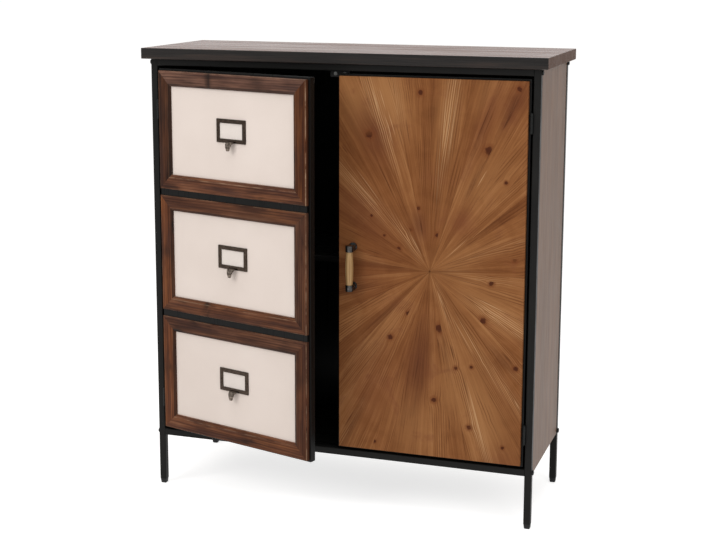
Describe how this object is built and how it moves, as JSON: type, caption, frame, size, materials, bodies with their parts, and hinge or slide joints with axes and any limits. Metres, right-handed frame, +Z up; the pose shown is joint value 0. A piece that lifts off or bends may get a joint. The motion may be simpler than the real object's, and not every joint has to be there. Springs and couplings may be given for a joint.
{
  "type": "apothecary cabinet",
  "caption": "Floor-standing cabinet on a black steel tube frame, with a hinged door of false drawer fronts and label pulls beside a hinged door faced with a sunburst of wooden wedges.",
  "frame": {"origin": "on the floor, midway between the four legs", "axes": "+X to the right seen from the front, +Y to the back, +Z up"},
  "size_m": [0.88, 0.4222, 0.98],
  "materials": {
    "black_steel": "satin black powder coat",
    "black_hardware": "black finish",
    "zinc_steel": "zinc plated",
    "dark_iron": "dark, rubbed edges",
    "antique_bronze": "antique bronze",
    "black_plastic": "matt",
    "stained_top": "black-brown stain, satin",
    "side_board": "dark brown-grey stain, satin",
    "black_board": "black, matt",
    "stained_frame": "red-brown stain with worn edges",
    "cream_board": "cream paint, matt",
    "card": "blank card",
    "pine": "brown wax",
    "natural_wood": "clear oil"
  },
  "bodies": {
    "carcass": {"back_panel": "black_board", "back_panel_screws": "zinc_steel", "catch_body": "black_plastic", "catch_magnets": "zinc_steel", "catch_screws": "zinc_steel", "floor_panel": "black_board", "foot_glides": "black_plastic", "frame_bolts": "black_hardware", "front_bottom_rail": "black_steel", "front_left_post": "black_steel", "front_right_post": "black_steel", "front_top_rail": "black_steel", "hinge_pins": "black_hardware", "hinge_post_leaves": "black_hardware", "hinge_post_screws": "black_hardware", "left_bottom_side_rail": "black_steel", "left_side_panel": "side_board", "left_top_side_rail": "black_steel", "rail_nut_inserts": "zinc_steel", "rear_bottom_rail": "black_steel", "rear_left_post": "black_steel", "rear_right_post": "black_steel", "rear_top_rail": "black_steel", "right_bottom_side_rail": "black_steel", "right_side_panel": "side_board", "right_top_side_rail": "black_steel", "shelf": "black_board", "shelf_pins": "zinc_steel", "side_panel_screws": "zinc_steel", "tabletop": "stained_top", "tabletop_screws": "zinc_steel"},
    "left_door": {"left_door_core": "black_board", "upper_drawer_frame": "stained_frame", "middle_drawer_frame": "stained_frame", "lower_drawer_frame": "stained_frame", "upper_drawer_panel": "cream_board", "middle_drawer_panel": "cream_board", "lower_drawer_panel": "cream_board", "upper_label_holder": "antique_bronze", "middle_label_holder": "antique_bronze", "lower_label_holder": "antique_bronze", "label_cards": "card", "label_holder_pins": "antique_bronze", "drawer_dividers": "black_board", "left_hinge_door_leaves": "black_hardware", "left_door_hinge_screws": "black_hardware", "left_strike_plate": "zinc_steel", "left_strike_screw": "zinc_steel"},
    "right_door": {"right_door_core": "black_board", "sunburst_wedges": "pine", "handle_lower_bracket": "dark_iron", "handle_upper_bracket": "dark_iron", "handle_grip": "natural_wood", "handle_rod": "zinc_steel", "handle_screws": "zinc_steel", "right_hinge_door_leaves": "black_hardware", "right_door_hinge_screws": "black_hardware", "right_strike_plate": "zinc_steel", "right_strike_screw": "zinc_steel"}
  },
  "joints": [
    {"name": "left_door_hinge", "type": "hinge", "parent": "carcass", "child": "left_door", "pos_m": [-0.40725, -0.1533, 0.536], "axis": [0, 0, -1], "range_deg": [-16.5, 93.5]},
    {"name": "right_door_hinge", "type": "hinge", "parent": "carcass", "child": "right_door", "pos_m": [0.40725, -0.1533, 0.536], "axis": [0, 0, 1], "range_deg": [0, 110]}
  ]
}
